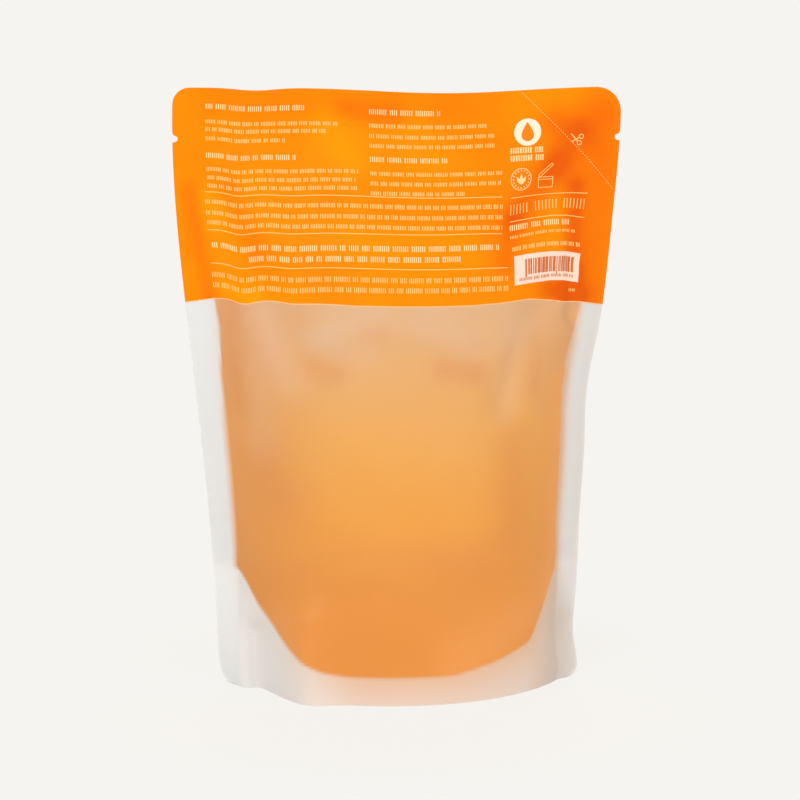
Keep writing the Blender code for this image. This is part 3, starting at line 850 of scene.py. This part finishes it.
def panel_piece(pouch, side, name, materials, node):
    """A panel as a thin solid: inner and outer faces from skin(), over a grid that is even in u between
    the seams and follows the cut edge in the side seals."""
    cut = pouch.cut
    levels = [0.0, cut.base_seal, cut.gusset, pouch.print_level, pouch.print_level + BAND_EDGE]
    levels += [pouch.top_seal_level, cut.height]
    for angle in range(0, 91, 15):
        turn = 1 - math.cos(math.radians(angle))
        levels.append(cut.base_corner * turn)
        levels += [cut.height - corner * turn for corner in (cut.left_corner, cut.right_corner)]
        notch = cut.notch_height / 2 * math.cos(math.radians(angle))
        levels += [cut.height - cut.notch_drop + half * notch for half in (-1, 1)]
    v = rows_through(levels, 0.0009)[:, None]
    across = np.linspace(-pouch.half_arc, pouch.half_arc, 161)[None, :]
    share = np.linspace(0.0, 1.0, 8)[None, :]
    left = -(pouch.half_arc + share[:, :0:-1] * (pouch.outline(False, v) - pouch.half_arc))
    right = pouch.half_arc + share[:, 1:] * (pouch.outline(True, v) - pouch.half_arc)
    u = np.hstack([left, np.repeat(across, len(v), axis=0), right])
    level = np.broadcast_to(v, u.shape)
    v = level - np.interp(u, *np.array(PRINT_EDGE).T) * bell(level - pouch.print_level, 0.012)
    inner = pouch.skin(side, u, v, 0.0)
    outer = pouch.skin(side, u, v, cut.film)
    inner[0, :, 2] = outer[0, :, 2] = 0.0
    if side == BACK:
        u, v, level = u[:, ::-1], v[:, ::-1], level[:, ::-1]
        inner, outer = inner[:, ::-1], outer[:, ::-1]
    rows, columns = u.shape
    quads = sheet_quads(rows, columns)
    middle = level.ravel()[quads % u.size].mean(axis=1)
    slots = np.where(middle > pouch.print_level + BAND_EDGE, 1, np.where(middle > pouch.print_level, 3, 0))
    slots[2 * (rows - 1) * (columns - 1) :] = 2
    wet = pouch.wet(side, u, v)
    shade = valleys(u, v, FRONT_SHADE if side == FRONT else BACK_SHADE)
    # Painted shade and painted light on the soap seen through the window, and painted shade on the welds
    flush = wet * valleys(u, v, FRONT_PAINTED_SHADING if side == FRONT else BACK_PAINTED_SHADING)
    flush = flush + (1 - wet) * valleys(u, v, FRONT_TAN_SHADE if side == FRONT else BACK_TAN_SHADE)
    ply = smooth((cut.gusset + 0.003 - v) / 0.008)
    fields = {"wet": wet, "glow": pouch.glow(u, v), "ply": ply, "flush": flush, "shade": shade}
    fields = {field: on_both_faces(values) for field, values in fields.items()}
    uv = flat_uv(pouch, u.ravel(), v.ravel())
    points = np.concatenate([inner.reshape(-1, 3), outer.reshape(-1, 3)])
    obj = new_object(name, points, quads, materials, slots, fields, np.concatenate([uv, uv]))
    finish_piece(obj, (node,))


def web_underside(pouch, columns, weld_rows, free_rows):
    """The base web's lower face: up the front weld, across the free web and down the back weld. The free
    web hangs as a parabola whose depth is half span * sqrt(1.5 * slack), and lies on the floor where
    that would take it lower."""
    cut = pouch.cut
    inside = np.linspace(-pouch.half_arc, pouch.half_arc, columns)
    beyond = pouch.half_arc + (pouch.half_width - pouch.half_arc) * np.linspace(0.0, 1.0, 6)[1:]
    middle = np.concatenate([-beyond[::-1], inside, beyond])[None, :]
    weld = np.linspace(0.0, 1.0, weld_rows)[:, None] * pouch.seal_height(middle)
    edge = np.where(middle < 0, pouch.outline(False, weld), pouch.outline(True, weld))
    past = np.maximum(np.abs(middle) - pouch.half_arc, 0.0) / cut.side_seal
    beside = pouch.half_arc + past * (edge - pouch.half_arc)
    u = np.sign(middle) * np.where(past > 0, beside, np.abs(middle))
    faces = []
    for side in (FRONT, BACK):
        out = pouch.clearance(weld) - cut.gap - cut.film
        faces.append(pouch.contact(side, u, weld) + pouch.outward(side, u, weld) * out[..., None])
    front, back = faces
    start, end = front[-1], back[-1]
    half_span = np.linalg.norm(end - start, axis=-1) / 2
    slack = np.maximum((cut.gusset - pouch.seal_height(middle)[0]) / half_span - 1, 0.0)
    in_side_seal = np.abs(middle[0]) > pouch.half_arc - cut.gap
    hang = np.where(in_side_seal, -cut.hem, half_span * np.sqrt(1.5 * slack))
    across = np.linspace(-1.0, 1.0, free_rows)[1:-1, None, None]
    free = start + (end - start) * (across + 1) / 2
    free[..., 2] = free[..., 2] - hang * (1 - across[..., 0] ** 2)
    z = free[..., 2]
    soft = FLOOR_REST * np.logaddexp(0.0, z / FLOOR_REST)
    resting = np.maximum(soft - FLOOR_REST * math.log(2.0), 0.0)
    free[..., 2] = np.where(z > 6 * FLOOR_REST, z, resting)
    grid = np.concatenate([front, free, back[::-1]])
    grid[0, :, 2] = grid[-1, :, 2] = 0.0
    return middle[0], weld, grid


def above_web(lower, distance):
    """The base web's lower face moved along its normals, to the side where the soap is."""
    cross = np.cross(np.gradient(lower, axis=1), np.gradient(lower, axis=0))
    return lower + distance * cross / np.linalg.norm(cross, axis=-1, keepdims=True)


def web_piece(pouch, materials):
    weld_rows, free_rows = 14, 42
    middle, weld, lower = web_underside(pouch, 110, weld_rows, free_rows)
    upper = above_web(lower, pouch.cut.film)
    upper[0, :, 2] = upper[-1, :, 2] = 0.0
    rows, columns = lower.shape[:2]
    quads = sheet_quads(rows, columns)
    wet = np.zeros((rows, columns))
    wet[weld_rows + 1 : -weld_rows - 1] = 1.0
    wet[:, np.abs(middle) > pouch.half_arc - pouch.cut.gap] = 0.0
    fields = {
        "wet": on_both_faces(wet),
        # Painted light from the soap, even over the whole base web
        "glow": np.full(2 * wet.size, 0.6),
        "ply": np.ones(2 * wet.size),
    }
    points = np.concatenate([lower.reshape(-1, 3), upper.reshape(-1, 3)])
    obj = new_object("base_web", points, quads, materials, None, fields)
    finish_piece(obj, ("bottom_gusset",))


def soap_piece(pouch, materials):
    """The soap as a closed loop for each column: down the front panel, over the base web and up the back
    panel, closed across its level top, with a strip of quads over each end."""
    columns, wall_rows, free_rows = 110, 70, 30
    middle, _, lower = web_underside(pouch, columns, 10, free_rows)
    floor = above_web(lower, pouch.cut.film + WEB_GAP)[10:-10]
    keep = (middle > 0.0030 - pouch.half_arc) & (middle < pouch.half_arc - 0.0042)
    u = middle[keep]
    walls = []
    for side in (FRONT, BACK):
        probe = np.linspace(0.0, pouch.top_seal_level, 200)[:, None]
        z = pouch.contact(side, u[None, :], probe)[..., 2]
        top = probe[np.argmax(z > pouch.fill.fill_level, axis=0), 0]
        bottom = pouch.seal_height(u) + 0.0007
        v = bottom + np.linspace(0.0, 1.0, wall_rows)[:, None] * (top - bottom)
        walls.append(pouch.skin(side, u[None, :], v, -SOAP_GAP))
    loop = np.concatenate([walls[0][::-1], floor[:, keep], walls[1]])
    loop[0, :, 2] = loop[-1, :, 2] = pouch.fill.fill_level
    rows, columns = loop.shape[:2]
    a = np.arange(rows * columns).reshape(rows, columns)
    after = np.roll(a, -1, axis=0)
    around = np.stack([a[:, :-1], after[:, :-1], after[:, 1:], a[:, 1:]], axis=-1).reshape(-1, 4)
    half = rows // 2
    near, far = a[:half], a[::-1][:half]
    ends = []
    for column in (0, -1):
        strip = [near[:-1, column], far[:-1, column], far[1:, column], near[1:, column]]
        strip = strip if column == 0 else strip[::-1]
        ends.append(np.stack(strip, axis=-1))
    obj = new_object("soap_fill", loop.reshape(-1, 3), np.concatenate([around, *ends]), materials)
    finish_piece(obj, ("liquid_soap",))


# Print pieces


def segment(start, end, step=0.0008):
    """Points from start to end, at most a step apart."""
    count = max(int(math.dist(start, end) / step) + 2, 3)
    return np.linspace(start, end, count)


def ribbon(path, width):
    """A strip along a path of (u, drop) points: path +- width / 2 across its direction."""
    along = np.gradient(path, axis=0)
    along = along / np.linalg.norm(along, axis=1, keepdims=True)
    across = np.stack([along[:, 1], -along[:, 0]], axis=1) * width / 2
    return np.stack([path - across, path + across])[None]


def ring(centre, radius, width):
    """A strip round a circle."""
    turn = np.linspace(0.0, 2 * math.pi, 33)
    around = np.stack([np.cos(turn), np.sin(turn)], axis=1)
    edges = [centre + (radius + half * width) * around for half in (-0.5, 0.5)]
    return np.stack(edges[::-1])[None, :, ::-1]


def blade(base, tip, half_width, power=1.0):
    """A leaf from base to tip, of half width half_width * sin(pi * t^power) at the share t of its
    length. A power below 1 makes it a drop that is widest near its base."""
    base, tip = np.array(base), np.array(tip)
    t = np.linspace(0.02, 0.985, 17)[:, None, None]
    along = (tip - base) / math.dist(base, tip)
    across = np.array([-along[1], along[0]])
    share = np.linspace(1.0, -1.0, 5)[None, :, None]
    half = half_width * np.sin(np.pi * t**power)
    return (base + (tip - base) * t + across * share * half)[None]


def disc(centre, radius):
    """A disc as rows across it, from bottom to top."""
    turn = np.radians(np.linspace(82.0, -82.0, 19))[:, None]
    share = np.linspace(-1.0, 1.0, 9)[None, :]
    u = centre[0] + radius * np.cos(turn) * share
    drop = centre[1] + radius * np.sin(turn) + 0 * share
    return np.stack([u, drop], axis=-1)[None]


def block(left, right, top, bottom):
    """A rectangle as a grid of small cells."""
    u = np.linspace(left, right, math.ceil((right - left) / BAR_CELL) + 1)
    drop = np.linspace(bottom, top, math.ceil((bottom - top) / BAR_CELL) + 1)
    return np.stack(np.meshgrid(u, drop), axis=-1)[None]


def text_bars(line, seed):
    """Upright bars in place of a line of text: random widths and runs, stretched to fill the line
    between its ends."""
    left, right, drop_left, drop_right, kind = line
    height, width, gap, space = BARS[kind]
    random = np.random.default_rng(seed)
    count = int((right - left) / (width + gap + (space - gap) / np.mean(RUN))) + 1
    wide = width * random.uniform(0.8, 1.25, count)
    ends = np.cumsum(random.integers(*RUN, count))
    after = np.where(np.isin(np.arange(1, count + 1), ends), space, gap)
    start = np.concatenate([[0.0], np.cumsum(wide + after)[:-1]])
    scale = (right - left) / (start[-1] + wide[-1])
    start, wide = left + start * scale, wide * scale
    drop = drop_left + (drop_right - drop_left) * (start - left) / (right - left)
    rows = math.ceil(height / BAR_CELL) + 1
    ups = np.linspace(height / 2, -height / 2, rows)
    grid = [[[start, drop + up], [start + wide, drop + up]] for up in ups]
    return np.moveaxis(np.array(grid), -1, 0)


def relief(pouch, side, name, patches, material, low=-INK_ROOT, high=INK_RISE):
    """Closed thin prisms over patches of the flat film. A batch of patches is an array of the shape
    (patches, rows, columns, 2) that holds (u, drop), with its rows from bottom to top."""
    points, quads, start = [], [], 0
    for batch in patches:
        batch = batch if side == FRONT else batch[:, :, ::-1]
        count, rows, columns, _ = batch.shape
        u, drop = batch[..., 0], batch[..., 1]
        bow = np.interp(u, *np.array(PRINT_BOW).T) * smooth((drop - 0.0300) / 0.0112)
        v = pouch.cut.height - drop - bow
        faces = [pouch.skin(side, u, v, pouch.cut.film + out) for out in (low, high)]
        points.append(np.stack(faces, axis=1).reshape(-1, 3))
        each = 2 * rows * columns
        offset = start + each * np.arange(count)[:, None, None]
        quads.append((sheet_quads(rows, columns)[None] + offset).reshape(-1, 4))
        start += each * count
    obj = new_object(name, np.concatenate(points), np.concatenate(quads), [material])
    finish_piece(obj)


def dashes():
    """Short strips along the cut line."""
    start, end = np.array(CUT_LINE[0]), np.array(CUT_LINE[1])
    whole = math.dist(start, end)
    along = (end - start) / whole
    return [
        ribbon(segment(start + along * place, start + along * (place + CUT_DASH)), CUT_WIDTH)
        for place in np.arange(0.0, whole - CUT_DASH, CUT_PITCH)
    ]


def scissors(centre):
    """Two crossed blades with a ring at the end of each."""
    blades = (((-0.0019, -0.0017), (0.0004, 0.0008)), ((-0.0016, 0.0010), (0.0010, -0.0004)))
    rings = ((0.0010, 0.0014), (0.0017, -0.0007))
    centre = np.array(centre)
    shapes = [ribbon(segment(centre + a, centre + b), 0.00036) for a, b in np.array(blades)]
    return shapes + [ring(centre + place, 0.00072, 0.00030) for place in np.array(rings)]


def jar(left, drop):
    """The outline of a jar with its lid tipped open."""
    corners = [(0.0, 0.0), (0.0053, 0.0), (0.0051, 0.0036), (0.0002, 0.0036), (0.0, 0.0)]
    lid = [(0.0001, -0.0007), (0.0048, -0.0044), (0.0053, -0.0039), (0.0006, 0.0000), (0.0001, -0.0007)]
    rim = [(0.0001, 0.0008), (0.0052, 0.0008)]
    start = np.array([left, drop])
    return [
        ribbon(segment(start + a, start + b), 0.00024)
        for line in (corners, lid, rim)
        for a, b in zip(np.array(line)[:-1], np.array(line)[1:])
    ]


def leaf_badge(centre):
    """A ring round three leaves, with short bars between."""
    u, drop = centre
    shapes = [ring(np.array(centre), 0.0036, 0.00026)]
    for tip_u, tip_drop in ((-0.0017, -0.0010), (0.0, -0.0019), (0.0017, -0.0010)):
        shapes.append(blade((u, drop + 0.0019), (u + tip_u, drop + tip_drop), 0.00052))
    for turn in np.radians(np.arange(0.0, 360.0, 22.5)):
        along = np.array([math.cos(turn), math.sin(turn)])
        shapes.append(ribbon(segment(centre + 0.0026 * along, centre + 0.0031 * along), 0.00040))
    return shapes


def code_bars(left, right, top, bottom):
    """Upright bars of random width, and a row of small ones below them."""
    random = np.random.default_rng(31)
    start, bars = left + 0.0040, []
    while start < right - 0.0028:
        wide = random.choice([0.00034, 0.00060, 0.00098])
        low = bottom - (0.0030 if len(bars) % 12 else 0.0022)
        bars.append(block(start, start + wide, top + 0.0016, low))
        start += wide + random.choice([0.00024, 0.00036, 0.00048])
    digits = (left + 0.0018, right - 0.0022, bottom - 0.0016, bottom - 0.0018, "fine")
    return bars + [text_bars(digits, 77)]


# Operators


class POUCH_OT_film(bpy.types.Operator):
    """Make the two panels and the base web"""

    bl_idname = "pouch.film"
    bl_label = "Film"

    def execute(self, context):
        pouch = Pouch(context.scene)
        colours = context.scene.pouch_colours
        frosted = frosted_material(pouch, colours)
        edge = ink_material("band_edge", colours.band_edge, 0.0)
        materials = [frosted, printed_material(pouch, colours), edge_material(), edge]
        panel_piece(pouch, FRONT, "front_film", materials, "front_panel")
        panel_piece(pouch, BACK, "rear_film", materials, "rear_panel")
        web_piece(pouch, [frosted])
        return {"FINISHED"}


class POUCH_OT_label(bpy.types.Operator):
    """Print the front panel: bars in place of text, rules, badges and a bar code"""

    bl_idname = "pouch.label"
    bl_label = "Label"

    def execute(self, context):
        pouch = Pouch(context.scene)
        colours = context.scene.pouch_colours
        bold = ink_material("bold_ink", colours.bold_ink, 0.34)
        badge = ink_material("badge_ink", colours.ink, 0.04)
        thin = ink_material("thin_ink", colours.thin_ink, 0.12)
        for name, lines, seed, ink in (
            ("heading_bars", BOLD_LINES, 0, bold),
            ("text_bars", THIN_LINES, 50, thin),
        ):
            bars = [text_bars(line, seed + index) for index, line in enumerate(lines)]
            relief(pouch, FRONT, name, bars, ink)
        rules = [ribbon(segment((a, c), (b, d)), RULE_WIDTH) for a, b, c, d in RULES]
        relief(pouch, FRONT, "rules", rules, thin)
        relief(pouch, FRONT, "drop_badge", [disc((0.0430, 0.0140), 0.0046)], badge)
        drop = blade((0.0430, 0.0172), (0.0430, 0.0106), 0.0021, 0.62)
        orange = ink_material("orange_ink", colours.band, 0.0)
        relief(pouch, FRONT, "badge_drop", [drop], orange, INK_RISE, 2 * INK_RISE)
        relief(pouch, FRONT, "leaf_badge", leaf_badge((0.0407, 0.0296)), bold)
        relief(pouch, FRONT, "open_jar_badge", jar(0.0470, 0.0292), thin)
        panel = ink_material("code_panel_ink", colours.code_panel, 0.0)
        relief(pouch, FRONT, "code_panel", [block(*CODE_PANEL)], panel)
        dark = ink_material("code_ink", colours.code, 0.0)
        relief(pouch, FRONT, "code_bars", code_bars(*CODE_PANEL), dark, INK_RISE, 2 * INK_RISE)
        return {"FINISHED"}


class POUCH_OT_cut_guide(bpy.types.Operator):
    """Print the cut line and the scissors on both panels"""

    bl_idname = "pouch.cut_guide"
    bl_label = "Cut guide"

    def execute(self, context):
        pouch = Pouch(context.scene)
        ink = ink_material("guide_ink", context.scene.pouch_colours.thin_ink, 0.06)
        for side, name in ((FRONT, "front_cut_guide"), (BACK, "rear_cut_guide")):
            relief(pouch, side, name, dashes() + scissors(SCISSORS), ink)
        return {"FINISHED"}


class POUCH_OT_soap(bpy.types.Operator):
    """Make the soap inside the pack"""

    bl_idname = "pouch.soap"
    bl_label = "Soap"

    def execute(self, context):
        pouch = Pouch(context.scene)
        soap_piece(pouch, [soap_material(pouch)])
        return {"FINISHED"}


class POUCH_OT_stage(bpy.types.Operator):
    """Make the floor, the lights and the camera"""

    bl_idname = "pouch.stage"
    bl_label = "Stage"

    def execute(self, context):
        scene = context.scene
        scene.view_settings.view_transform = "Standard"
        make_floor(scene)
        make_world(scene)
        for name, place, size, power in LIGHTS:
            area_light(scene, name, place, size, power)
        make_camera(scene)
        return {"FINISHED"}


def make_floor(scene):
    """A wide floor that shows the backdrop's colour to the camera, under a faint shadow."""
    corners = ((-1, -1), (1, -1), (1, 1), (-1, 1))
    points = np.array([(x * FLOOR_REACH, y * FLOOR_REACH, -FLOOR_GAP) for x, y in corners])
    nodes = Nodes("floor")
    nodes.set(Base_Color=rgba(scene.pouch_colours.stage), Roughness=0.9, Specular_IOR_Level=0.0)
    glow = nodes.add("ShaderNodeEmission", {"Color": rgba(scene.pouch_colours.stage), "Strength": 1.0})
    path = nodes.add("ShaderNodeLightPath")
    far = nodes.add("ShaderNodeVectorMath", {"Vector": nodes.place()}, operation="LENGTH").outputs["Value"]
    plain = nodes.math("ADD", nodes.spread(far, 0.10, 0.45), 0.88, clamp=True)
    seen = nodes.math("MULTIPLY", path.outputs["Is Camera Ray"], plain)
    mix = nodes.add("ShaderNodeMixShader", {"Fac": seen})
    nodes.put(mix.inputs[1], nodes.shader.outputs[0])
    nodes.put(mix.inputs[2], glow.outputs[0])
    nodes.put(nodes.tree.nodes["Material Output"].inputs["Surface"], mix.outputs[0])
    floor = new_object("floor", points, np.array([[0, 1, 2, 3]]), [nodes.material])


def make_world(scene):
    """Even light from all round, and the backdrop's colour where the camera sees past the floor."""
    world = bpy.data.worlds.new("studio")
    world.use_nodes = True
    tree = world.node_tree
    light = tree.nodes["Background"]
    light.inputs["Color"].default_value = (1.0, 1.0, 1.0, 1.0)
    light.inputs["Strength"].default_value = WORLD_LIGHT
    shown = tree.nodes.new("ShaderNodeBackground")
    shown.inputs["Color"].default_value = rgba(scene.pouch_colours.stage)
    path = tree.nodes.new("ShaderNodeLightPath")
    mix = tree.nodes.new("ShaderNodeMixShader")
    tree.links.new(path.outputs["Is Camera Ray"], mix.inputs[0])
    tree.links.new(light.outputs[0], mix.inputs[1])
    tree.links.new(shown.outputs[0], mix.inputs[2])
    tree.links.new(mix.outputs[0], tree.nodes["World Output"].inputs["Surface"])
    scene.world = world


def aim(obj, eye, target):
    """Places obj at eye and turns its -Z axis towards target."""
    obj.location = eye
    obj.rotation_euler = (Vector(target) - Vector(eye)).to_track_quat("-Z", "Y").to_euler()


def area_light(scene, name, place, size, power):
    light = bpy.data.lights.new(name, "AREA")
    light.shape = "SQUARE"
    light.size = size
    light.energy = power
    obj = bpy.data.objects.new(name, light)
    scene.collection.objects.link(obj)
    aim(obj, place, LIT_PLACE)


def make_camera(scene):
    """A long lens 1 m away, a little to the left of the pack and above its middle."""
    elevation, azimuth = math.radians(CAMERA_ELEVATION), math.radians(CAMERA_AZIMUTH)
    away = (
        math.sin(azimuth) * math.cos(elevation),
        -math.cos(azimuth) * math.cos(elevation),
        math.sin(elevation),
    )
    data = bpy.data.cameras.new("camera")
    data.lens = CAMERA_LENS
    data.sensor_width = CAMERA_SENSOR
    camera = bpy.data.objects.new("camera", data)
    scene.collection.objects.link(camera)
    eye = tuple(t + CAMERA_DISTANCE * a for t, a in zip(CAMERA_TARGET, away))
    aim(camera, eye, CAMERA_TARGET)
    scene.camera = camera


class POUCH_PT_panel(bpy.types.Panel):
    """Sizes, colours and steps of the pouch"""

    bl_idname = "POUCH_PT_panel"
    bl_label = "Refill Pouch"
    bl_space_type = "VIEW_3D"
    bl_region_type = "UI"
    bl_category = "Pouch"

    def draw(self, context):
        for group in (context.scene.pouch_film, context.scene.pouch_fill, context.scene.pouch_colours):
            box = self.layout.box()
            for key in group.__annotations__:
                box.prop(group, key)
        for operator in OPERATORS:
            self.layout.operator(operator.bl_idname)


OPERATORS = (POUCH_OT_film, POUCH_OT_label, POUCH_OT_cut_guide, POUCH_OT_soap, POUCH_OT_stage)
CLASSES = (PouchFilm, PouchFill, PouchColours, *OPERATORS, POUCH_PT_panel)


def register():
    for cls in CLASSES:
        bpy.utils.register_class(cls)
    bpy.types.Scene.pouch_film = PointerProperty(type=PouchFilm)
    bpy.types.Scene.pouch_fill = PointerProperty(type=PouchFill)
    bpy.types.Scene.pouch_colours = PointerProperty(type=PouchColours)


def unregister():
    del bpy.types.Scene.pouch_colours
    del bpy.types.Scene.pouch_fill
    del bpy.types.Scene.pouch_film
    for cls in reversed(CLASSES):
        bpy.utils.unregister_class(cls)


def main():
    register()
    bpy.ops.pouch.film()
    bpy.ops.pouch.label()
    bpy.ops.pouch.cut_guide()
    bpy.ops.pouch.soap()
    bpy.ops.pouch.stage()


if __name__ == "__main__":
    main()
